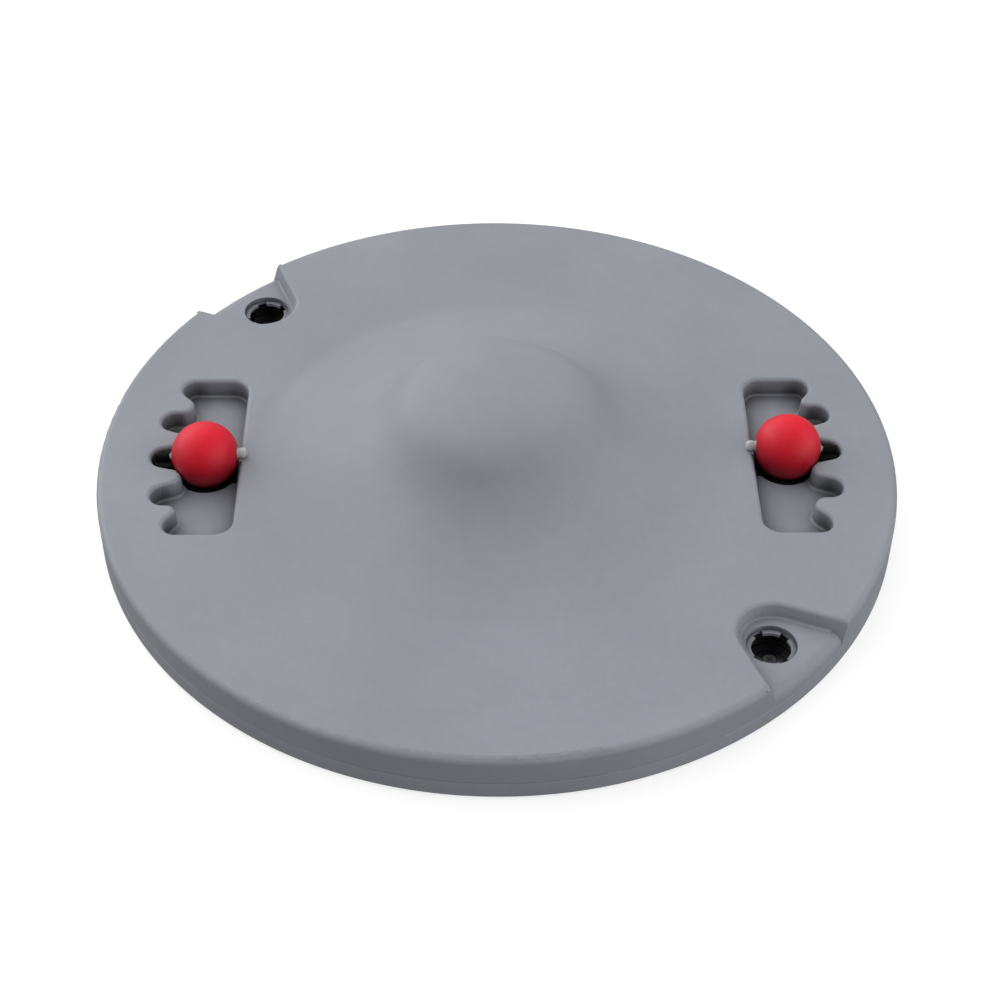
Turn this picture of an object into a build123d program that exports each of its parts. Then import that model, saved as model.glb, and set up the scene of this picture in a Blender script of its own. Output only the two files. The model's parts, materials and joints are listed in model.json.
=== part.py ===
from build123d import *
import math
import os

os.makedirs("parts", exist_ok=True)

# Balance dome trainer: a round standing board with a central pivot dome, two
# rubber roller balls in scalloped pockets and two bayonet sockets in its rim.
# It lies on its standing face: z = 0 is the grip face, +Z points through the
# dome, the pockets lie along the X axis. Millimetres.

# --- board -----------------------------------------------------------------
BOARD_R = 300.0
FACE_Z = 39.0            # flat face around the dome
RIM_TOP_R = 5.2          # rounding at the upper rim
RIM_BOTTOM_R = 3.6       # rounding at the lower rim
SPLIT_Z = 16.2           # joint line of the two shells
SPLIT_GAP = 0.05
SPLIT_CHAMFER = 0.5
RIM_Z = 0.5              # lower edge of the deck shell, the mat stands proud
WALL = 3.2               # shell wall
DOME_WALL = 4.0          # wall of the pivot dome
DECK_IN = 5.0            # inner face of the deck shell
SEAT_Z = DECK_IN + 0.1   # underside of the parts standing on the deck
MAT_R = 284.0
MAT_T = 2.0
RUN = 0.05               # running clearance, radial
HOLE_GAP = 0.02          # radial gap of a screw or pin in its hole

# Pivot dome profile: radius, height above the flat face
DOME = [
    (0.0, 68.5), (20.0, 67.8), (40.0, 65.6), (50.0, 63.6), (60.0, 60.4),
    (68.0, 55.9), (75.0, 49.8), (82.0, 42.0), (90.0, 34.2), (100.0, 26.6),
    (115.0, 18.4), (135.0, 10.4), (155.0, 4.4), (172.0, 1.1), (184.0, 0.0),
]

# --- ball pockets ----------------------------------------------------------
POCKET_FLOOR = 23.4
POCKET_X_IN = 193.2      # straight wall on the dome side
POCKET_CORNER = 14.0
POCKET_DRAFT = 4.0       # degrees
POCKET_EDGE = 3.2        # rounding of the mouth
FLOOR_FILLET = 2.2       # rounding of the pocket and recess floors
COMB_Y = 3.2             # the notches and the ball sit off the pocket's middle
NOTCH_PITCH = 41.2
NOTCH_R = 10.7           # end radius of the finger notches
NOTCH_X = (250.0, 246.5)  # middle notch, outer notches
LOBE_R = 7.8             # lobes beside the middle notch
LOBE_X = (244.3, 243.0)  # lobes beside the middle notch, outer lobes
OUTER_LOBE_SHIFT = 0.5   # along Y
CORNER_NOTCH = (234.4, 75.8)
CORNER_NOTCH_R = 10.2

# --- balls and axles; z along the axle counts from the ball, + to the dome ---
BALL_X = 219.7
BALL_Y = COMB_Y
BALL_Z = 41.0
BALL_R = 25.2
BALL_CLEAR = 26.2        # radius of the free space round a ball
OPENING_R = 22.6         # opening in the pocket floor
AXLE_TILT = 3.5          # the dome-side end of the axle is higher
AXLE_R = 3.6
AXLE_HEAD_R = 4.0
AXLE_PIN_R = 1.9
PIN_END = -37.0
PIN_ROOT = -25.4
HEAD_ROOT = 26.6
HEAD_END = 31.7
BUSH_R = 5.2
BUSH_LENGTH = 48.8
THROUGH = 60.0           # length of the bore cutters
CRADLE_LEG_Y = 17.4

# --- rim sockets -----------------------------------------------------------
SOCKET_R = 266.2
SOCKET_ANGLES = {1: -45.0, -1: 135.0}  # right (+X) and left socket
RECESS_FLOOR = 28.5
RECESS_R = 27.7          # inner end of the recess at the flat face
RECESS_SHIFT = 3.2       # the recess is offset sideways from the socket
RECESS_FLARE = 23.7      # each side opens by this angle towards the rim
RECESS_REACH = 345.0     # outer end of the recess cutter, from the board's centre
RECESS_DRAFT = 20.0      # degrees
RECESS_EDGE = 3.6        # rounding of the mouth
MOUTH_STEPS = 6          # facets of that rounding
RECESS_LIP = 9.0         # the floor rounds down to the rim
COUNTER_R = 18.1
COUNTER_Z = 24.9
LUG_R = 14.1
LUG_Z = 22.5
LUG_RING_R = 21.5        # outside of the material round the lugs
GAP_R = 17.4             # the gaps between the lugs stop short of the counterbore wall
GAP_DEG = 28.0
GAPS = {1: (45.0, 121.0, 225.0, 301.0), -1: (34.0, 110.0, 214.0, 290.0)}
CUP_R = 19.4
CUP_FLANGE_R = 23.5
CUP_FLANGE_Z = 19.6
CUP_TOP = LUG_Z - 0.1
CUP_IN_R = 17.0
CUP_FLOOR = 7.2
EAR_SCREW_R = 1.6
POST_R = 3.5             # guide post of the plunger
PLUNGER_R = 16.4
PLUNGER_TOP = 11.8
PLUNGER_T = 1.8
PLUNGER_SCREW_R = 1.5

# --- bosses, ribs and screws -----------------------------------------------
SCREW_R = 2.0
SCREW_HEAD_R = 4.0
SHELL_SEAT_Z = 5.1       # head seat of the shell screws
SHORT_SEAT_Z = 3.9       # head seat of the cradle and core screws
SHORT_HEAD_H = 1.8
BOSS_ROOT_Z = FACE_Z - 1.5  # bosses and ribs of the dome shell run up into the face
BOSS_Z = 12.0            # lower end of the dome shell's bosses
BOSS_R = 5.5
RIB_ANGLES = [22.5 + 45 * k for k in range(8)]


def polar(radius, angle):
    return (radius * math.cos(math.radians(angle)), radius * math.sin(math.radians(angle)))


# Screw places, (x, y)
SHELL_SCREWS = [polar(281.5, angle) for angle in RIB_ANGLES]
SHELL_SCREWS += [polar(165.0, 30 + 60 * k) for k in range(6)]
CORE_SCREWS = [polar(52.0, 45 + 90 * k) for k in range(4)]
CRADLE_SCREWS = [(side * BALL_X, side * (BALL_Y + end * CRADLE_LEG_Y))
                 for side in (1, -1) for end in (1, -1)]
# Ears of a socket cup, about the socket's axis
EAR_R = 33.0
EAR_ANGLES = (180.0, 112.0, -112.0)
EARS = [polar(EAR_R, angle) for angle in EAR_ANGLES]


# ---------------------------------------------------------------------------
# helpers
# ---------------------------------------------------------------------------
def cyl(radius, bottom, top, x=0.0, y=0.0):
    return Pos(x, y, (bottom + top) / 2) * Cylinder(radius, top - bottom)


def block(x_start, x_end, width, bottom, top):
    """Box centred on y = 0."""
    centre = Pos((x_start + x_end) / 2, 0, (bottom + top) / 2)
    return centre * Box(x_end - x_start, width, top - bottom)


def cross_slot(z, length, width, depth):
    """Cross recess cutter for a screw head whose end face is at z."""
    return Pos(0, 0, z) * (Box(length, width, 2 * depth) + Box(width, length, 2 * depth))


def opposite(shape):
    return Rot(0, 0, 180) * shape


def at_socket(shape, side=1):
    """Moves a shape from the origin to a socket, its +X pointing to the rim."""
    angle = SOCKET_ANGLES[side]
    x, y = polar(SOCKET_R, angle)
    return Pos(x, y, 0) * Rot(0, 0, angle) * shape


def axle_frame(shape):
    """Local +Z runs along the axle towards the dome, origin at the ball."""
    tilt = math.radians(AXLE_TILT)
    plane = Plane(origin=(BALL_X, 0, BALL_Z), x_dir=(0, 1, 0),
                  z_dir=(-math.cos(tilt), 0, math.sin(tilt)))
    return plane.location * shape


def face_of(curves):
    return make_face([edge for curve in curves for edge in curve.edges()])


def xz_lines(*points):
    """Lines joining (radius, z) points in the XZ plane."""
    return [Line((x0, 0, z0), (x1, 0, z1))
            for (x0, z0), (x1, z1) in zip(points, points[1:])]


def rim_round(radius, flat_z, side=1):
    """Quarter arc from a flat at flat_z to the rim, below it (side 1) or above it."""
    start = BOARD_R - radius
    bulge = radius * math.sqrt(0.5)
    return ThreePointArc((start, 0, flat_z),
                         (start + bulge, 0, flat_z - side * (radius - bulge)),
                         (BOARD_R, 0, flat_z - side * radius))


def edges_at(shape, z):
    return [edge for edge in shape.edges() if abs(edge.center().Z - z) < 0.01]


def fillet_if_possible(shape, edges, radius):
    """Guards fillets the kernel may refuse; the edges then stay sharp."""
    try:
        return fillet(edges, radius)
    except Exception:
        return shape


# ---------------------------------------------------------------------------
# pocket outline
# ---------------------------------------------------------------------------
def crossing_tangent(centre_a, radius_a, centre_b, radius_b, left):
    """Touch points of the crossing tangent of two circles, leaving circle a
    with it on the left of the path (left True) or on the right."""
    dx, dy = centre_b[0] - centre_a[0], centre_b[1] - centre_a[1]
    turn = math.acos((radius_a + radius_b) / math.hypot(dx, dy))
    angle = math.atan2(dy, dx) + (-turn if left else turn)
    ux, uy = math.cos(angle), math.sin(angle)
    return ((centre_a[0] + radius_a * ux, centre_a[1] + radius_a * uy),
            (centre_b[0] - radius_b * ux, centre_b[1] - radius_b * uy))


def circle_arc(centre, radius, start, end, ccw):
    first = math.atan2(start[1] - centre[1], start[0] - centre[0])
    last = math.atan2(end[1] - centre[1], end[0] - centre[0])
    span = (last - first) % (2 * math.pi)
    if not ccw:
        span -= 2 * math.pi
    middle = first + span / 2
    return ThreePointArc(
        start,
        (centre[0] + radius * math.cos(middle), centre[1] + radius * math.sin(middle)),
        end)


def pocket_half(grow, comb_y):
    """Pocket outline on the +Y side of the middle notch, whose centre is at
    y = comb_y; it ends at the middle of the straight wall."""
    outer_y = comb_y + NOTCH_PITCH
    corner_x, corner_y = CORNER_NOTCH
    outer_lobe_r = (corner_y - outer_y) / 2 - CORNER_NOTCH_R
    circles = [  # centre, radius; notches and lobes alternate
        ((NOTCH_X[0], comb_y), NOTCH_R + grow),
        ((LOBE_X[0], comb_y + NOTCH_PITCH / 2), LOBE_R - grow),
        ((NOTCH_X[1], outer_y), NOTCH_R + grow),
        ((LOBE_X[1], (outer_y + corner_y) / 2 + OUTER_LOBE_SHIFT), outer_lobe_r - grow),
        (CORNER_NOTCH, CORNER_NOTCH_R + grow),
    ]
    curves = []
    start = (NOTCH_X[0] + NOTCH_R + grow, comb_y)
    for i in range(4):
        is_notch = i % 2 == 0
        leave, enter = crossing_tangent(*circles[i], *circles[i + 1], left=is_notch)
        curves += [circle_arc(*circles[i], start, leave, ccw=is_notch), Line(leave, enter)]
        start = enter
    y_end = corner_y + CORNER_NOTCH_R + grow
    x_in = POCKET_X_IN - grow
    corner_r = POCKET_CORNER + grow
    inset = corner_r * (1 - math.sqrt(0.5))
    corner_start = (x_in + corner_r, y_end)
    corner_end = (x_in, y_end - corner_r)
    curves += [
        circle_arc(*circles[4], start, (corner_x, y_end), ccw=True),
        Line((corner_x, y_end), corner_start),
        ThreePointArc(corner_start, (x_in + inset, y_end - inset), corner_end),
        Line(corner_end, (x_in, 0.0)),
    ]
    return [edge for curve in curves for edge in curve.edges()]


def pocket_face(grow, z):
    """Outline of the pocket on the +X side, grown outwards, at height z."""
    edges = pocket_half(grow, COMB_Y)
    edges += [edge.mirror(Plane.XZ) for edge in pocket_half(grow, -COMB_Y)]
    return Pos(0, 0, z) * make_face(Wire(edges).edges())


def pocket_grow(z):
    return (z - FACE_Z) * math.tan(math.radians(POCKET_DRAFT))


def pocket_cutter(floor=POCKET_FLOOR, extra=0.0, top=FACE_Z + 4.0):
    sections = [pocket_face(pocket_grow(z) + extra, z) for z in (floor, top)]
    return loft(sections, ruled=True)


# ---------------------------------------------------------------------------
# recess outline, with the socket at the origin and the rim towards +X
# ---------------------------------------------------------------------------
def recess_face(grow, z):
    """Teardrop outline opening to the rim."""
    radius = RECESS_R + grow
    flare = math.radians(RECESS_FLARE)
    touch_x, touch_y = -radius * math.sin(flare), radius * math.cos(flare)
    run = RECESS_REACH - SOCKET_R
    side_length = (run - touch_x) / math.cos(flare)
    end_x = touch_x + side_length * math.cos(flare)
    end_y = touch_y + side_length * math.sin(flare)
    face = face_of([
        ThreePointArc((touch_x, touch_y), (-radius, 0), (touch_x, -touch_y)),
        Line((touch_x, -touch_y), (end_x, -end_y)),
        Line((end_x, -end_y), (end_x, end_y)),
        Line((end_x, end_y), (touch_x, touch_y)),
    ])
    return Pos(0, RECESS_SHIFT, z) * face


def recess_grow(z):
    return (z - FACE_Z) * math.tan(math.radians(RECESS_DRAFT))


def recess_cutter(floor=RECESS_FLOOR, extra=0.0, top=FACE_Z + 4.0):
    return loft([recess_face(recess_grow(z) + extra, z) for z in (floor, top)], ruled=True)


def recess_mouth():
    """Rounding of the recess mouth, as a cutter that flares up to the flat face."""
    radius = RECESS_EDGE
    draft = math.radians(RECESS_DRAFT)
    centre_grow = radius * math.cos(draft) - radius * (1 - math.sin(draft)) * math.tan(draft)
    start_z = FACE_Z - radius + radius * math.sin(draft) - 1.0
    sections = [recess_face(recess_grow(start_z), start_z)]
    for i in range(MOUTH_STEPS + 1):
        angle = draft + (math.pi / 2 - draft) * i / MOUTH_STEPS
        sections.append(recess_face(centre_grow - radius * math.cos(angle),
                                    FACE_Z - radius + radius * math.sin(angle)))
    sections.append(recess_face(centre_grow, FACE_Z + 3.0))
    return loft(sections, ruled=True)


def recess_lip():
    """What lies outside the rounding between the recess floor and the rim."""
    start = BOARD_R - RECESS_LIP
    low, high = RECESS_FLOOR - RECESS_LIP, RECESS_FLOOR + 2
    outside = BOARD_R + 4
    ring = revolve(face_of([
        rim_round(RECESS_LIP, RECESS_FLOOR),
        *xz_lines((BOARD_R, low), (outside, low), (outside, high),
                  (start, high), (start, RECESS_FLOOR)),
    ]), Axis.Z, 360)
    return ring & at_socket(recess_cutter(low - 1.0))


# ---------------------------------------------------------------------------
# dome shell: flat face, pivot dome, pockets, recesses and upper half of the rim
# ---------------------------------------------------------------------------
def dome_points(offset=0.0):
    """Dome profile moved inwards along its normal."""
    points = []
    for i, (radius, height) in enumerate(DOME):
        slope = 0.0
        if 0 < i < len(DOME) - 1:
            (r_before, h_before), (r_after, h_after) = DOME[i - 1], DOME[i + 1]
            slope = (h_after - h_before) / (r_after - r_before)
        norm = math.hypot(1, slope)
        points.append((radius + offset * slope / norm, FACE_Z + height - offset / norm))
    return points


def dome_curve(points):
    return Spline(*[(x, 0, z) for x, z in points], tangents=[(1, 0, 0), (1, 0, 0)])


def revolve_dome_skin():
    ceiling = FACE_Z - WALL
    skirt_in = BOARD_R - WALL
    outer = dome_points()
    inner = dome_points(DOME_WALL)
    # the inner curve runs out into the underside of the flat face
    inner[-1] = (inner[-1][0], ceiling)
    inner[-2] = (inner[-2][0], min(inner[-2][1], ceiling + 0.5))
    return revolve(face_of([
        dome_curve(outer),
        *xz_lines((outer[-1][0], FACE_Z), (BOARD_R - RIM_TOP_R, FACE_Z)),
        rim_round(RIM_TOP_R, FACE_Z),
        *xz_lines((BOARD_R, FACE_Z - RIM_TOP_R), (BOARD_R, SPLIT_Z + SPLIT_CHAMFER),
                  (BOARD_R - SPLIT_CHAMFER, SPLIT_Z), (skirt_in, SPLIT_Z),
                  (skirt_in, ceiling), (inner[-1][0], ceiling)),
        dome_curve(inner),
        *xz_lines((0, inner[0][1]), (0, outer[0][1])),
    ]), Axis.Z, 360)


def add_wells(shell):
    """Walls and floors of the pockets and recesses, hanging from the flat face."""
    wall = 3.0
    lip_drop = 8.0       # the recess floor is this deep near the rim
    rim_in = BOARD_R - 0.6
    well = pocket_cutter(POCKET_FLOOR - wall, wall, FACE_Z - 1.2)
    shell = shell + well + opposite(well)
    recess = (at_socket(recess_cutter(RECESS_FLOOR - wall, wall, FACE_Z - 1.2))
              & cyl(rim_in, 4.0, FACE_Z - 1.0))
    rim_band = cyl(rim_in, RECESS_FLOOR - lip_drop, RECESS_FLOOR) - cyl(BOARD_R - 9.5, 10.0, FACE_Z)
    recess = recess + (
        at_socket(recess_cutter(RECESS_FLOOR - lip_drop, wall, FACE_Z - 3.0)) & rim_band)
    ring = at_socket(cyl(LUG_RING_R, LUG_Z, FACE_Z - 2.0))
    return shell + recess + opposite(recess) + ring + opposite(ring)


def add_shell_bosses(shell):
    for x, y in SHELL_SCREWS:
        shell = shell + cyl(BOSS_R, BOSS_Z, BOSS_ROOT_Z, x, y)
    for side in SOCKET_ANGLES:
        for x, y in EARS:
            shell = shell + at_socket(cyl(4.5, LUG_Z, BOSS_ROOT_Z, x, y), side)
    # stiffening ribs under the flat face
    for angle in RIB_ANGLES:
        shell = shell + Rot(0, 0, angle) * block(190, 292, 2.4, 26.0, BOSS_ROOT_Z)
    return shell


def cut_pockets_and_recesses(shell):
    pocket = pocket_cutter()
    pocket = fillet_if_possible(pocket, edges_at(pocket, POCKET_FLOOR), FLOOR_FILLET)
    shell = shell - pocket - opposite(pocket)

    recess = recess_cutter()
    # all floor edges but the one beyond the rim
    floor_edges = [e for e in edges_at(recess, RECESS_FLOOR) if e.center().X < 60]
    recess = at_socket(fillet_if_possible(recess, floor_edges, FLOOR_FILLET))
    shell = shell - recess - opposite(recess)

    # rounded mouths of the pockets
    mouth_edges = [e for e in edges_at(shell, FACE_Z)
                   if 188 < abs(e.center().X) < 266 and abs(e.center().Y) < 92]
    shell = fillet_if_possible(shell, mouth_edges, POCKET_EDGE)

    # rounded mouths and outer lips of the recesses
    for cutter in (recess_mouth(), None):
        cutter = recess_lip() if cutter is None else at_socket(cutter)
        shell = shell - cutter - opposite(cutter)
    return shell


def lug_cutter(side):
    """Counterbore and lug ring with four gaps, open below."""
    bottom = LUG_Z - 1
    reach = 30           # beyond GAP_R, trimmed back to it
    cutter = cyl(COUNTER_R, COUNTER_Z, RECESS_FLOOR + 3) + cyl(LUG_R, bottom, RECESS_FLOOR)
    outline = Polyline((0, 0), polar(reach, -GAP_DEG / 2), polar(reach, GAP_DEG / 2), (0, 0))
    for angle in GAPS[side]:
        wedge = Rot(0, 0, angle - SOCKET_ANGLES[side]) * extrude(
            make_face(outline.edges()), RECESS_FLOOR - bottom)
        cutter = cutter + ((Pos(0, 0, bottom) * wedge) & cyl(GAP_R, bottom, RECESS_FLOOR))
    return cutter


def fit_balls(shell):
    """Free space round the balls, floor openings, saddles for the axle heads."""
    space = Pos(BALL_X, BALL_Y, BALL_Z) * Sphere(BALL_CLEAR)
    opening = cyl(OPENING_R, POCKET_FLOOR - 5, POCKET_FLOOR + 0.5, BALL_X, BALL_Y)
    shell = shell - space - opposite(space) - opening - opposite(opening)
    saddle = block(186.0, 195.0, 10.4, 33.0, FACE_Z)
    saddle = fillet(saddle.edges().filter_by(Axis.Z), 1.2)
    groove = axle_frame(cyl(AXLE_HEAD_R + 0.05, 19.9, HEAD_END + 0.2))
    saddle = Pos(0, BALL_Y, 0) * (saddle - groove) - space
    tunnel = Pos(0, BALL_Y, 0) * (groove & block(183.0, 197.0, 14, 36.0, 50.0))
    shell = shell - tunnel - opposite(tunnel)
    return shell + saddle + opposite(saddle)


def build_dome_shell():
    shell = add_shell_bosses(add_wells(revolve_dome_skin()))
    shell = cut_pockets_and_recesses(shell)
    for side in SOCKET_ANGLES:
        shell = shell - at_socket(lug_cutter(side), side)
    shell = fit_balls(shell)
    # pilot holes
    for x, y in SHELL_SCREWS:
        shell = shell - cyl(SCREW_R + HOLE_GAP, 10, 24.0, x, y)
    for side in SOCKET_ANGLES:
        for x, y in EARS:
            shell = shell - at_socket(cyl(EAR_SCREW_R + HOLE_GAP, LUG_Z - 1, 31.0, x, y), side)
    return shell


# ---------------------------------------------------------------------------
# ball, axle, bush and cradle, built at y = 0
# ---------------------------------------------------------------------------
def build_axle():
    shaft = cyl(AXLE_R, PIN_ROOT, HEAD_ROOT)
    head = cyl(AXLE_HEAD_R, HEAD_ROOT, HEAD_END)
    head = fillet(head.edges().filter_by(GeomType.CIRCLE).group_by(Axis.Z)[-1], 3.0)
    head = fillet(head.edges().filter_by(GeomType.CIRCLE).group_by(Axis.Z)[0], 0.5)
    return axle_frame(shaft + head + cyl(AXLE_PIN_R, PIN_END, PIN_ROOT))


def build_ball():
    return axle_frame(Sphere(BALL_R) - Cylinder(BUSH_R, THROUGH))


def build_bush():
    return axle_frame(Cylinder(BUSH_R, BUSH_LENGTH) - Cylinder(AXLE_R + RUN, THROUGH))


def cradle_tongue():
    """Tongue in the middle notch, standing clear of the rounded floor edge."""
    notch_x = NOTCH_X[0]
    half_width = NOTCH_R + pocket_grow(POCKET_FLOOR) - 0.5
    bottom, top = POCKET_FLOOR + 2.4, 36.8
    tongue = (block(notch_x - 15.0, notch_x, 2 * half_width, bottom, top)
              + cyl(half_width, bottom, top, notch_x))
    tongue = fillet_if_possible(tongue, tongue.edges().group_by(Axis.Z)[-1], 1.5)
    foot = block(notch_x - 16.0, notch_x, 12.0, POCKET_FLOOR + 0.1, POCKET_FLOOR + 3.1)
    return tongue + foot


def build_cradle():
    bowl_r = OPENING_R - 0.3
    ball_centre = Pos(BALL_X, 0, BALL_Z)
    cradle = ball_centre * Sphere(29.0)
    cradle = cradle & cyl(bowl_r, 5.0, POCKET_FLOOR + 0.4, BALL_X)
    cradle = cradle + cyl(bowl_r, 18.0, POCKET_FLOOR + 0.2, BALL_X)
    # lip on the pocket floor, trimmed to the walls of the pocket
    cradle = cradle + (cyl(23.5, POCKET_FLOOR + 0.1, POCKET_FLOOR + 1.4, BALL_X)
                       & (Pos(0, -BALL_Y, 0) * pocket_cutter(POCKET_FLOOR, -2.5)))
    # legs down to the deck
    for side in (1, -1):
        cradle = cradle + cyl(4.5, SEAT_Z, 19.0, BALL_X, side * CRADLE_LEG_Y)
    # pad against the dome-side wall, then the holder of the axle pin
    pad = block(196.8, 201.8, 26.0, POCKET_FLOOR + 0.1, POCKET_FLOOR + 5.1)
    hump = axle_frame(cyl(2.9, -37.8, -27.0))
    post = block(246.5, 257.5, 6.8, 33.8, 37.8)
    cradle = cradle + pad + cradle_tongue() + hump + post
    cradle = cradle - ball_centre * Sphere(BALL_CLEAR - 0.1)
    cradle = cradle - axle_frame(cyl(AXLE_PIN_R + HOLE_GAP, PIN_END - 0.1, PIN_ROOT + 0.1))
    for side in (1, -1):
        cradle = cradle - cyl(SCREW_R + HOLE_GAP, 4.0, 14.6, BALL_X, side * CRADLE_LEG_Y)
    # hole in the bottom, under the ball
    return cradle - cyl(2.5, 5.0, 17.0, BALL_X)


# ---------------------------------------------------------------------------
# socket parts, built at the origin
# ---------------------------------------------------------------------------
def build_cup():
    cup = cyl(CUP_R, SEAT_Z, CUP_TOP) + cyl(CUP_FLANGE_R, CUP_FLANGE_Z, CUP_TOP)
    for angle, (x, y) in zip(EAR_ANGLES, EARS):
        cup = cup + cyl(4.8, CUP_FLANGE_Z, CUP_TOP, x, y)
        cup = cup + Rot(0, 0, angle) * block(16.0, EAR_R, 9.6, CUP_FLANGE_Z, CUP_TOP)
    cup = cup - cyl(CUP_IN_R, CUP_FLOOR, 30.0)
    cup = cup + cyl(POST_R, CUP_FLOOR - 0.2, PLUNGER_TOP)
    cup = cup - cyl(PLUNGER_SCREW_R + HOLE_GAP, CUP_FLOOR + 0.6, 20.0)
    for x, y in EARS:
        cup = cup - cyl(EAR_SCREW_R + 0.2, 18.0, 24.0, x, y)
    return cup


def build_plunger():
    """Disc with two raised rings, sliding on the cup's post."""
    plunger = cyl(PLUNGER_R, PLUNGER_TOP - PLUNGER_T, PLUNGER_TOP)
    for radius in (8.6, 12.6):
        plunger = plunger + (cyl(radius + 0.7, PLUNGER_TOP - 0.2, PLUNGER_TOP + 0.6)
                             - cyl(radius - 0.7, PLUNGER_TOP - 0.4, PLUNGER_TOP + 1))
    return plunger - cyl(POST_R + RUN, 5, 20)


def build_spring():
    """Conical coil spring that nests flat."""
    wire_r = 0.4
    gap = 0.05
    turns, r_bottom, r_top, point_count = 3.0, 13.5, 6.0, 73
    bottom = CUP_FLOOR + wire_r + gap
    top = PLUNGER_TOP - PLUNGER_T - wire_r - gap
    points = []
    for i in range(point_count):
        part = i / (point_count - 1)
        angle = 2 * math.pi * turns * part
        radius = r_bottom + (r_top - r_bottom) * part
        points.append((radius * math.cos(angle), radius * math.sin(angle),
                       bottom + (top - bottom) * part))
    path = Spline(*points)
    section = Plane(origin=path @ 0, z_dir=path % 0) * Circle(wire_r)
    return sweep(section, path=path)


def build_plunger_screw():
    head_top = PLUNGER_TOP + 1.5
    body = (cyl(5.2, PLUNGER_TOP + 0.05, head_top)
            + cyl(PLUNGER_SCREW_R, CUP_FLOOR + 0.8, PLUNGER_TOP + 0.3))
    body = fillet(body.edges().filter_by(GeomType.CIRCLE).group_by(Axis.Z)[-1], 0.5)
    return body - cross_slot(head_top, 5, 0.9, 0.8)


def build_cup_screw():
    head_z = 17.5
    body = cyl(3.2, head_z, CUP_FLANGE_Z - 0.05) + cyl(EAR_SCREW_R, 19.4, 29.5)
    return body - cross_slot(head_z, 3.6, 0.8, 0.9)


# ---------------------------------------------------------------------------
# deck shell, mat, core, screws
# ---------------------------------------------------------------------------
def drill_deck(deck, places, hole_top, seat_z):
    for x, y in places:
        deck = deck - cyl(2.3, 0, hole_top, x, y) - cyl(SCREW_HEAD_R + 0.4, 0, seat_z, x, y)
    return deck


def build_deck_shell():
    mat_edge = MAT_R + 0.3
    joint = SPLIT_Z - SPLIT_GAP
    lip_out, lip_in = BOARD_R - WALL - 0.15, BOARD_R - WALL - 2.4
    lip_top = SPLIT_Z + 4.0  # locating lip inside the skirt of the other shell
    root = DECK_IN - 0.5     # ribs and bosses are sunk into the deck
    deck = revolve(face_of([
        *xz_lines((0, MAT_T), (mat_edge, MAT_T), (mat_edge, RIM_Z),
                  (BOARD_R - RIM_BOTTOM_R, RIM_Z)),
        rim_round(RIM_BOTTOM_R, RIM_Z, side=-1),
        *xz_lines((BOARD_R, RIM_Z + RIM_BOTTOM_R), (BOARD_R, joint - SPLIT_CHAMFER),
                  (BOARD_R - SPLIT_CHAMFER, joint), (lip_out, joint), (lip_out, lip_top),
                  (lip_in, lip_top), (lip_in, DECK_IN), (0, DECK_IN), (0, MAT_T)),
    ]), Axis.Z, 360)
    for angle in RIB_ANGLES:
        deck = deck + Rot(0, 0, angle) * block(80, 294, 2.6, root, 11.8)
    for radius in (120.0, 180.0):
        deck = deck + (cyl(radius + 1.3, root, 11.0) - cyl(radius - 1.3, root - 0.5, 12.0))
    for x, y in SHELL_SCREWS:
        deck = deck + cyl(6.5, root, BOSS_Z - 0.1, x, y)
    deck = drill_deck(deck, SHELL_SCREWS, 14.0, SHELL_SEAT_Z)
    return drill_deck(deck, CRADLE_SCREWS + CORE_SCREWS, 6.0, SHORT_SEAT_Z)


def build_mat():
    """Disc with concentric grip grooves."""
    first, pitch, margin = 24, 20, 10
    mat = cyl(MAT_R, 0, MAT_T - 0.02)
    for radius in range(first, int(MAT_R) - margin, pitch):
        mat = mat - (cyl(radius + 1.5, -1, 0.7) - cyl(radius - 1.5, -1.5, 1.2))
    return mat


def build_core():
    """Ribbed core filling the dome from the deck up."""
    max_r = 92
    above = 110.0        # over the dome; trimmed to the envelope
    inner = [(x, z) for x, z in dome_points(DOME_WALL + 0.6) if x <= max_r]
    outline = [(0, SEAT_Z)] + inner + [(inner[-1][0], SEAT_Z), (0, SEAT_Z)]
    envelope_face = make_face(Polyline(*[(x, 0, z) for x, z in outline]).edges())
    envelope = revolve(envelope_face, Axis.Z, 360)
    core = cyl(70.0, SEAT_Z, 9.0) + cyl(14.0, 8.0, above)
    for k in range(4):
        core = core + Rot(0, 0, 45 * k + 22.5) * block(-68, 68, 3.2, 5, 105)
    core = core + (cyl(46.0, 8.0, above) - cyl(43.0, 7.0, above + 1))
    core = core & envelope
    core = core - cyl(10.5, 4.0, 94.0)
    for x, y in CORE_SCREWS:
        core = core + cyl(5.0, 8.0, 20.0, x, y)
        core = core - cyl(SCREW_R + HOLE_GAP, 4.0, 16.0, x, y)
    return core


def build_screws(places, seat_z, length, head_h):
    """Screws pointing up, the head below seat_z."""
    screw = (cyl(SCREW_HEAD_R, seat_z - head_h, seat_z)
             + cyl(SCREW_R, seat_z - 0.1, seat_z + length))
    screw = screw - cross_slot(seat_z - head_h, 4.6, 1.0, 1.2)
    return Compound(children=[Pos(x, y, 0) * screw for x, y in places])


# ---------------------------------------------------------------------------
# build and export
# ---------------------------------------------------------------------------
nodes = {
    "dome_shell": build_dome_shell(),
    "deck_shell": build_deck_shell(),
    "grip_mat": build_mat(),
    "dome_core": build_core(),
}

for name, build in (("ball_cradle", build_cradle), ("ball_axle", build_axle),
                    ("ball", build_ball), ("ball_bush", build_bush)):
    shape = Pos(0, BALL_Y, 0) * build()
    nodes[name + "_right"] = shape
    nodes[name + "_left"] = opposite(shape)

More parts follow.
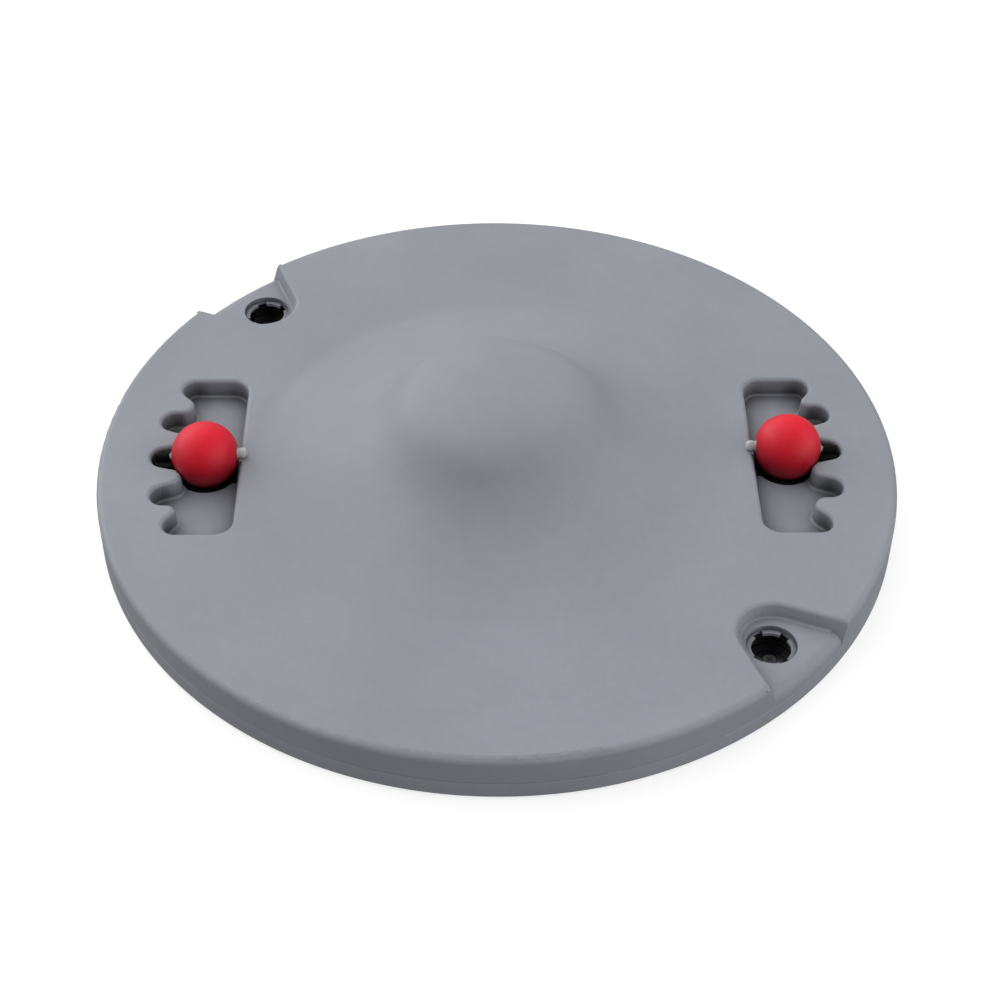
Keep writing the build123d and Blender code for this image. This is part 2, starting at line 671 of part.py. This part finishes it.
for name, build in (("socket_cup", build_cup), ("socket_plunger", build_plunger),
                    ("plunger_spring", build_spring)):
    shape = build()
    nodes[name + "_right"] = at_socket(shape, 1)
    nodes[name + "_left"] = at_socket(shape, -1)

plunger_screw = build_plunger_screw()
nodes["plunger_screws"] = Compound(children=[
    at_socket(plunger_screw, side) for side in SOCKET_ANGLES])
cup_screw = build_cup_screw()
nodes["cup_screws"] = Compound(children=[
    at_socket(Pos(x, y, 0) * cup_screw, side) for side in SOCKET_ANGLES for x, y in EARS])
nodes["shell_screws"] = build_screws(SHELL_SCREWS, SHELL_SEAT_Z, length=17.5, head_h=2.6)
nodes["cradle_screws"] = build_screws(
    CRADLE_SCREWS, SHORT_SEAT_Z, length=10.0, head_h=SHORT_HEAD_H)
nodes["core_screws"] = build_screws(
    CORE_SCREWS, SHORT_SEAT_Z, length=11.5, head_h=SHORT_HEAD_H)

for name, shape in nodes.items():
    export_step(shape, f"parts/{name}.step")
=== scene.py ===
"""A round board, 600 mm across, with a rubber ball set in it and spring-loaded plungers.

The board lies flat, centred on the Z axis, with its underside just above z = 0.
The camera looks from -Y and above, so +X is on the right of the view.
CAD pieces keep their meshes and get materials; the lower shell and the two plunger
springs are replaced by finer meshes built here.
"""
import bpy, bmesh, math, json
from mathutils import Vector, Matrix


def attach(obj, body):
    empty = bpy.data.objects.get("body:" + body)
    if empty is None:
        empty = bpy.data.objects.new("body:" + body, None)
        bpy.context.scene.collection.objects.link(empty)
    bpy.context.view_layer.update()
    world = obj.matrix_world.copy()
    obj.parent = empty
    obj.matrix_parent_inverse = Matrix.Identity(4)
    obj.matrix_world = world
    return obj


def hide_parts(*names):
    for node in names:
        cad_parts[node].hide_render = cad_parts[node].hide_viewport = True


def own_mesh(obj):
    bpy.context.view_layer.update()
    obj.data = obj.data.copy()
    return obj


MM = 0.001  # the deck and spring sizes below are in millimetres

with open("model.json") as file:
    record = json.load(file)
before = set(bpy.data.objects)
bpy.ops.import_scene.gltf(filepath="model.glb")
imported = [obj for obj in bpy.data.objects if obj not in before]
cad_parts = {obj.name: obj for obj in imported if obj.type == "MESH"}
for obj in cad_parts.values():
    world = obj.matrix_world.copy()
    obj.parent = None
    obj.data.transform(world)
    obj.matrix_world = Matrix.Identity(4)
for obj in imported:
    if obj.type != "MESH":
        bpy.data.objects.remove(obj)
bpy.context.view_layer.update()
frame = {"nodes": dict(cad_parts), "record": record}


# ---------------------------------------------------------------------------
# Shader node helpers
# ---------------------------------------------------------------------------
class Nodes:
    """Short calls for adding shader nodes to an emptied tree."""

    def __init__(self, tree):
        self.tree = tree
        tree.nodes.clear()

    def fill(self, node, inputs):
        """Set inputs by name or index: sockets are linked, tuples are RGB colours."""
        for key, value in inputs.items():
            if isinstance(value, bpy.types.NodeSocket):
                self.tree.links.new(value, node.inputs[key])
            elif isinstance(value, tuple):
                node.inputs[key].default_value = (*value, 1)
            else:
                node.inputs[key].default_value = value

    def add(self, kind, inputs=None, **settings):
        node = self.tree.nodes.new("ShaderNode" + kind)
        for name, value in settings.items():
            setattr(node, name, value)
        self.fill(node, inputs or {})
        return node

    def math(self, operation, *operands):
        return self.add("Math", dict(enumerate(operands)), operation=operation).outputs[0]

    def mix(self, first, second, factor=1.0, mode="MULTIPLY"):
        # the colour sockets of a Mix node are inputs 6 and 7 and output 2
        inputs = {0: factor, 6: first, 7: second}
        return self.add("Mix", inputs, data_type="RGBA", blend_type=mode).outputs[2]

    def ramp(self, factor, stops):
        """Colour ramp; each stop is (position, grey level or RGB)."""
        node = self.add("ValToRGB", {0: factor})
        elements = node.color_ramp.elements
        while len(elements) < len(stops):
            elements.new(0.5)
        for i, (position, colour) in enumerate(stops):
            if isinstance(colour, (int, float)):
                colour = (colour,) * 3
            elements[i].position = position
            elements[i].color = (*colour, 1)
        return node.outputs[0]

    def mix_shader(self, factor, first, second):
        return self.add("MixShader", {0: factor, 1: first, 2: second}).outputs[0]

    def emission(self, strength):
        return self.add("Emission", {0: (1, 1, 1), 1: strength}).outputs[0]


class Surface(Nodes):
    """A Principled material patterned in object coordinates."""

    def __init__(self, name):
        self.material = bpy.data.materials.new(name)
        self.material.use_nodes = True
        super().__init__(self.material.node_tree)
        self.output = self.add("OutputMaterial")
        self.bsdf = self.add("BsdfPrincipled")
        self.fill(self.output, {0: self.bsdf.outputs[0]})
        self.place = self.add("TexCoord").outputs["Object"]

    def noise(self, scale, detail=4, roughness=0.6):
        inputs = {"Scale": scale, "Detail": detail, "Roughness": roughness,
                  "Distortion": 0.0, "Vector": self.place}
        return self.add("TexNoise", inputs).outputs["Fac"]

    def patches(self, low, high, **noise):
        """Noise patches running between two grey levels or colours."""
        return self.ramp(self.noise(**noise), [(0.3, low), (0.7, high)])

    def occlusion(self, distance, samples, only_local=False):
        node = self.add("AmbientOcclusion", {"Distance": distance},
                        samples=samples, only_local=only_local)
        return node.outputs["AO"]

    def bump(self, height, distance, strength):
        inputs = {"Strength": strength, "Distance": distance, "Height": height}
        self.fill(self.bsdf, {"Normal": self.add("Bump", inputs).outputs[0]})


def linear(rgb):
    """Linear colour from sRGB values of 0 to 255."""
    return tuple(x / 255 / 12.92 if x / 255 <= 0.04045 else ((x / 255 + 0.055) / 1.055) ** 2.4
                 for x in rgb)


def scaled(colour, factor):
    return tuple(x * factor for x in colour)


# ---------------------------------------------------------------------------
# Materials
# ---------------------------------------------------------------------------
def shell_material():
    """Blue-grey moulded plastic, speckled, with painted shade darkening its hollows."""
    shell = Surface("shell_plastic")
    tone = shell.noise(scale=9.0, detail=3, roughness=0.5)
    mottle = shell.noise(scale=130.0)
    grain = shell.noise(scale=1500.0, detail=2)
    colour = shell.ramp(tone, [(0.3, linear((134, 137, 145))),
                               (0.5, linear((138, 141, 149))),
                               (0.7, linear((142, 145, 153)))])
    speckle = shell.ramp(grain, [(0.28, 0.86), (0.42, 1.0), (0.6, 1.0), (0.75, 1.06)])
    colour = shell.mix(colour, speckle)
    colour = shell.mix(colour, shell.ramp(mottle, [(0.3, 0.965), (0.7, 1.02)]))
    # painted shade: ambient occlusion darkens the colour in pockets, notches, recesses and
    # other hollows
    openness = shell.occlusion(distance=0.022, samples=12, only_local=True)
    painted_hollow_shade = shell.ramp(openness, [(0.0, 0.06), (0.42, 0.20), (0.66, 0.60),
                                    (0.85, 0.93), (1.0, 1.0)])
    shell.fill(shell.bsdf, {
        "Base Color": shell.mix(colour, painted_hollow_shade),
        "Roughness": shell.ramp(mottle, [(0.25, 0.50), (0.75, 0.60)]),
        "Specular IOR Level": 0.42,
    })
    height = shell.mix(grain, mottle, factor=0.35, mode="MIX")
    shell.bump(height, distance=0.00012, strength=0.35)
    return shell.material


def ball_material():
    """Red rubber with a faint dust, and painted shade that darkens it underneath and close to
    its pocket.
    """
    ball = Surface("ball_rubber")
    colour = ball.patches(linear((214, 4, 36)), linear((228, 8, 44)),
                          scale=30.0, detail=3, roughness=0.5)
    specks = ball.noise(scale=260.0, detail=5, roughness=0.65)
    colour = ball.mix(colour, ball.ramp(specks, [(0.45, 1.0), (0.72, 1.12)]))

    # the upward part of the normal, moved from -1..1 to 0..1
    normal = ball.add("NewGeometry").outputs["Normal"]
    normal_z = ball.add("SeparateXYZ", {0: normal}).outputs["Z"]
    upward = ball.math("MULTIPLY_ADD", normal_z, 0.5, 0.5)
    # painted shade: the colour darkens where the surface faces downward
    painted_underside_shade = ball.ramp(upward, [(0.30, 0.42), (0.50, 0.50), (0.72, 0.74),
                                 (0.85, 0.86), (1.0, 1.0)])
    colour = ball.mix(colour, painted_underside_shade)
    # painted shade: ambient occlusion darkens the colour close to the pocket
    openness = ball.occlusion(distance=0.030, samples=8)
    painted_pocket_shade = ball.ramp(openness, [(0.0, 0.20), (0.6, 0.72), (1.0, 1.0)])
    ball.fill(ball.bsdf, {
        "Base Color": ball.mix(colour, painted_pocket_shade),
        "Roughness": ball.patches(0.42, 0.52, scale=120.0),
        "Specular IOR Level": 0.32,
    })
    ball.bump(ball.noise(scale=900.0, detail=3), distance=0.00008, strength=0.25)
    return ball.material


def dark_material(name, rgb, roughness, specular=0.5):
    """Dark plastic or blackened metal; roughness is a (low, high) pair."""
    dark = Surface(name)
    base = linear(rgb)
    dark.fill(dark.bsdf, {
        "Base Color": dark.patches(scaled(base, 0.8), scaled(base, 1.5), scale=200.0),
        "Roughness": dark.patches(*roughness, scale=90.0),
        "Specular IOR Level": specular,
    })
    dark.bump(dark.noise(scale=700.0, detail=3), distance=0.00005, strength=0.2)
    return dark.material


def nylon_material():
    """Pale, slightly translucent nylon."""
    nylon = Surface("axle_nylon")
    nylon.fill(nylon.bsdf, {
        "Base Color": nylon.patches(linear((168, 169, 170)), linear((186, 187, 187)),
                                    scale=160.0),
        "Roughness": nylon.patches(0.35, 0.48, scale=300.0, detail=3),
        "Subsurface Weight": 0.08,
        "Subsurface Scale": 0.003,
    })
    nylon.bump(nylon.noise(scale=800.0, detail=3), distance=0.00005, strength=0.2)
    return nylon.material


def mat_material():
    """Matt near-black rubber with a fine cellular relief."""
    mat = Surface("mat_rubber")
    base = linear((30, 30, 32))
    mat.fill(mat.bsdf, {
        "Base Color": mat.patches(scaled(base, 0.75), scaled(base, 1.4), scale=60.0),
        "Roughness": mat.patches(0.72, 0.9, scale=90.0),
    })
    cells = mat.add("TexVoronoi", {"Scale": 420.0, "Vector": mat.place})
    mat.bump(cells.outputs["Distance"], distance=0.0004, strength=0.8)
    return mat.material


def steel_material():
    """Bright bare steel."""
    steel = Surface("steel")
    base = linear((200, 201, 205))
    steel.fill(steel.bsdf, {
        "Base Color": steel.patches(scaled(base, 0.8), base, scale=240.0),
        "Metallic": 1.0,
        "Roughness": steel.patches(0.28, 0.43, scale=500.0),
    })
    steel.bump(steel.noise(scale=1200.0, detail=3), distance=0.00003, strength=0.3)
    return steel.material


MATERIALS = {
    "shell_plastic": shell_material(),
    "ball_rubber": ball_material(),
    "black_plastic": dark_material("black_plastic", rgb=(14, 15, 18), roughness=(0.10, 0.22)),
    "cradle_plastic": dark_material("cradle_plastic", rgb=(5, 5, 6), roughness=(0.62, 0.78),
                                    specular=0.12),
    "core_plastic": dark_material("core_plastic", rgb=(40, 40, 43), roughness=(0.40, 0.55)),
    "axle_nylon": nylon_material(),
    "mat_rubber": mat_material(),
    "steel": steel_material(),
    "blackened_steel": dark_material("blackened_steel", rgb=(12, 12, 13),
                                     roughness=(0.22, 0.35)),
}

slot_of = {part["node"]: part["material_slot"] for part in frame["record"]["subparts"]}
for name, piece in frame["nodes"].items():
    piece.data.materials.clear()
    piece.data.materials.append(MATERIALS.get(slot_of[name], MATERIALS["black_plastic"]))


def add_object(name, data):
    created = bpy.data.objects.new(name, data)
    bpy.context.scene.collection.objects.link(created)
    return created


# ---------------------------------------------------------------------------
# Lower shell: one turned piece with a mat seat, rounded lower rim and joint line
# ---------------------------------------------------------------------------
DECK_RADIUS = 300.0
DECK_SEGMENTS = 512
RIM_BOTTOM_Z = 0.5
SEAT_RADIUS = 284.3      # recess in the underside that takes the mat
SEAT_Z = 2.0
PANEL_RADIUS = 120.0     # extra ring of points across the flat panel
PANEL_TOP_Z = 5.0
CORNER_RADIUS = 3.6
CORNER_STEPS = 8
JOINT_Z = 16.15
LIP_INNER_RADIUS = 294.4  # lip standing up inside the joint line
LIP_TOP_Z = 20.1
# (inset from the deck radius, drop below the joint), up and in over the edge
JOINT_EDGE = [(0.0, 1.3), (0.07, 0.95), (0.3, 0.62), (0.75, 0.35), (1.4, 0.15),
              (2.4, 0.0), (3.3, 0.0)]


def deck_profile():
    """(radius, z) in metres: out along the underside, up the side, back over the inside."""
    points = [(0.0, SEAT_Z), (PANEL_RADIUS, SEAT_Z), (SEAT_RADIUS, SEAT_Z),
              (SEAT_RADIUS, RIM_BOTTOM_Z), (284.8, RIM_BOTTOM_Z), (295.6, RIM_BOTTOM_Z)]
    for i in range(1, CORNER_STEPS + 1):
        angle = -math.pi / 2 + math.pi / 2 * i / CORNER_STEPS
        points.append((DECK_RADIUS - CORNER_RADIUS + CORNER_RADIUS * math.cos(angle),
                       RIM_BOTTOM_Z + CORNER_RADIUS + CORNER_RADIUS * math.sin(angle)))
    points.append((DECK_RADIUS, 4.4))
    points += [(DECK_RADIUS - inset, JOINT_Z - drop) for inset, drop in JOINT_EDGE]
    points += [(296.65, LIP_TOP_Z), (LIP_INNER_RADIUS, LIP_TOP_Z),
               (LIP_INNER_RADIUS, 5.1), (294.3, PANEL_TOP_Z),
               (PANEL_RADIUS, PANEL_TOP_Z), (0.0, PANEL_TOP_Z)]
    return [(radius * MM, z * MM) for radius, z in points]


def lathe(name, profile, segments):
    """Turn a profile about Z; points at radius 0 become a single vertex."""
    shape = bmesh.new()
    rings = []
    for radius, z in profile:
        if radius == 0:
            rings.append([shape.verts.new((0, 0, z))] * segments)
            continue
        angles = [2 * math.pi * i / segments for i in range(segments)]
        rings.append([shape.verts.new((radius * math.cos(angle), radius * math.sin(angle), z))
                      for angle in angles])
    for ring, following in zip(rings, rings[1:]):
        for i in range(segments):
            j = (i + 1) % segments
            corners = (ring[i], ring[j], following[j], following[i])
            # dropping repeated corners turns quads at the axis into triangles
            shape.faces.new(list(dict.fromkeys(corners)))
    bmesh.ops.recalc_face_normals(shape, faces=shape.faces)
    mesh = bpy.data.meshes.new(name)
    shape.to_mesh(mesh)
    shape.free()
    for face in mesh.polygons:
        face.use_smooth = True
    return add_object(name, mesh)


deck = lathe("deck_ring", deck_profile(), DECK_SEGMENTS)
deck.modifiers.new("split", "EDGE_SPLIT").split_angle = math.radians(50)
deck.data.materials.append(MATERIALS["shell_plastic"])
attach(deck, "board")
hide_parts("deck_shell")

# ---------------------------------------------------------------------------
# Conical springs under the plungers
# ---------------------------------------------------------------------------
SPRING_DISTANCE = 266.2  # from the board axis to each spring axis
SPRING_ANGLES = {"right": -45.0, "left": 135.0}  # degrees from +X
SPRING_FOOT_Z = 7.25
WIRE_RADIUS = 0.4
COIL_BOTTOM_Z = SPRING_FOOT_Z + WIRE_RADIUS
COIL_TOP_Z = 9.55
COIL_BOTTOM_RADIUS = 13.5
COIL_TOP_RADIUS = 6.0
COIL_TURNS = 3.0
COIL_STEPS = 220
WIRE_SIDES = 12


def spring(name, centre_x, centre_y, start_angle):
    """Closed round wire wound up a cone."""
    vertices, faces = [], []
    for i in range(COIL_STEPS + 1):
        t = i / COIL_STEPS
        turn = start_angle + 2 * math.pi * COIL_TURNS * t
        coil_radius = COIL_BOTTOM_RADIUS + (COIL_TOP_RADIUS - COIL_BOTTOM_RADIUS) * t
        coil_z = COIL_BOTTOM_Z + (COIL_TOP_Z - COIL_BOTTOM_Z) * t
        for k in range(WIRE_SIDES):
            around = 2 * math.pi * k / WIRE_SIDES
            radius = coil_radius + WIRE_RADIUS * math.cos(around)
            vertices.append(((centre_x + radius * math.cos(turn)) * MM,
                             (centre_y + radius * math.sin(turn)) * MM,
                             (coil_z + WIRE_RADIUS * math.sin(around)) * MM))
    for i in range(COIL_STEPS):
        here, ahead = i * WIRE_SIDES, (i + 1) * WIRE_SIDES
        for k in range(WIRE_SIDES):
            j = (k + 1) % WIRE_SIDES
            faces.append((here + k, ahead + k, ahead + j, here + j))
    faces.append(tuple(range(WIRE_SIDES)))
    faces.append(tuple(reversed(range(COIL_STEPS * WIRE_SIDES, len(vertices)))))
    mesh = bpy.data.meshes.new(name)
    mesh.from_pydata(vertices, [], faces)
    mesh.validate()
    shape = bmesh.new()
    shape.from_mesh(mesh)
    bmesh.ops.recalc_face_normals(shape, faces=shape.faces)
    shape.to_mesh(mesh)
    shape.free()
    for face in mesh.polygons:
        face.use_smooth = len(face.vertices) == 4  # the end caps stay flat
    mesh.materials.append(MATERIALS["steel"])
    return add_object(name, mesh)


for side, degrees in SPRING_ANGLES.items():
    angle = math.radians(degrees)
    x, y = SPRING_DISTANCE * math.cos(angle), SPRING_DISTANCE * math.sin(angle)
    coil = spring("coil_" + side, x, y, angle)
    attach(coil, "board")
    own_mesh(coil)
    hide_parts("plunger_spring_" + side)

# ---------------------------------------------------------------------------
# Floor
# ---------------------------------------------------------------------------
FLOOR_HALF = 6.0        # metres
FLOOR_Z = -0.0002
FLOOR_GREY = 0.42
FLOOR_GLOW = 0.70       # added light where the camera sees the paper
FLOOR_BOUNCE = 0.30     # light the paper gives to everything else


def floor_material():
    """Pale paper: seen bright by the camera, a softer grey as a bounce."""
    paper = Surface("floor_paper")
    grain = paper.patches(0.985, 1.0, scale=900.0, detail=3)
    paper.fill(paper.bsdf, {
        "Base Color": paper.mix((FLOOR_GREY,) * 3, grain),
        "Roughness": 1.0,
        "Specular IOR Level": 0.0,
    })
    seen = paper.add("AddShader", {0: paper.bsdf.outputs[0], 1: paper.emission(FLOOR_GLOW)})
    from_camera = paper.add("LightPath").outputs["Is Camera Ray"]
    top = paper.mix_shader(from_camera, paper.emission(FLOOR_BOUNCE), seen.outputs[0])
    # clear from below, so the underside of the board shows
    from_below = paper.add("NewGeometry").outputs["Backfacing"]
    clear = paper.add("BsdfTransparent").outputs[0]
    paper.fill(paper.output, {0: paper.mix_shader(from_below, top, clear)})
    return paper.material


floor_mesh = bpy.data.meshes.new("floor")
floor_mesh.from_pydata([(x * FLOOR_HALF, y * FLOOR_HALF, FLOOR_Z)
                        for x, y in ((-1, -1), (1, -1), (1, 1), (-1, 1))],
                       [], [(0, 1, 2, 3)])
floor = add_object("floor", floor_mesh)
floor_mesh.materials.append(floor_material())

# ---------------------------------------------------------------------------
# World: soft lobes of light, brightest low on the right and low behind on the left
# ---------------------------------------------------------------------------
SKY_STRENGTH = 0.955
LOBE_SHARPNESS = 6.0
# (azimuth from +X, elevation, radiance), angles in degrees
LOBES = [
    (0, 12, 1.36), (120, 12, 0.50), (150, 12, 1.95), (180, 12, 0.35), (330, 12, 1.75),
    (60, 12, 0.04), (210, 12, 0.04), (240, 12, 0.04), (270, 12, 0.04), (300, 12, 0.04),
    (135, 42, 1.00), (180, 42, 0.62), (315, 42, 0.23), (45, 42, 0.10), (90, 42, 0.60),
    (225, 42, 0.14), (270, 42, 0.04), (0, 90, 0.42)]


def studio_world():
    """Sum of radiance * exp(sharpness * (cos(angle to lobe) - 1))."""
    world = bpy.data.worlds.new("studio")
    world.use_nodes = True
    sky = Nodes(world.node_tree)
    direction = sky.add("TexCoord").outputs["Generated"]
    total = None
    for azimuth, elevation, radiance in LOBES:
        azimuth, elevation = math.radians(azimuth), math.radians(elevation)
        dot = sky.add("VectorMath", {0: direction}, operation="DOT_PRODUCT")
        dot.inputs[1].default_value = (math.cos(azimuth) * math.cos(elevation),
                                       math.sin(azimuth) * math.cos(elevation),
                                       math.sin(elevation))
        below_one = sky.math("SUBTRACT", dot.outputs["Value"], 1.0)
        exponent = sky.math("MULTIPLY", below_one, LOBE_SHARPNESS)
        lobe = sky.math("MULTIPLY", sky.math("EXPONENT", exponent), radiance)
        total = lobe if total is None else sky.math("ADD", total, lobe)
    background = sky.add("Background", {0: total, 1: SKY_STRENGTH})
    sky.add("OutputWorld", {0: background.outputs[0]})
    return world


scene = bpy.context.scene
scene.view_settings.view_transform = "Standard"
scene.view_settings.look = "None"
scene.world = studio_world()

# ---------------------------------------------------------------------------
# Camera
# ---------------------------------------------------------------------------
CAMERA_PLACE = (0.00003, -1.14873, 1.06788)  # before the orbit
YAW = math.radians(0.155)     # from +Y towards +X
PITCH = math.radians(43.174)  # below the horizon
ROLL = math.radians(0.487)
ORBIT = math.radians(-0.849)  # camera turned about the board axis


def camera_matrix():
    forward = Vector((math.sin(YAW) * math.cos(PITCH), math.cos(YAW) * math.cos(PITCH),
                      -math.sin(PITCH)))
    level = Vector((math.cos(YAW), -math.sin(YAW), 0))
    upright = level.cross(forward)
    right = level * math.cos(ROLL) + upright * math.sin(ROLL)
    up = -level * math.sin(ROLL) + upright * math.cos(ROLL)
    turn = Matrix((right, up, -forward)).transposed().to_4x4()
    return Matrix.Rotation(ORBIT, 4, "Z") @ Matrix.Translation(CAMERA_PLACE) @ turn


lens = bpy.data.cameras.new("camera")
lens.sensor_width = 36.0
lens.sensor_fit = "HORIZONTAL"
lens.lens = 73.4724
lens.clip_start = 0.05
lens.shift_x = -0.001
camera = add_object("camera", lens)
camera.matrix_world = camera_matrix()
scene.camera = camera
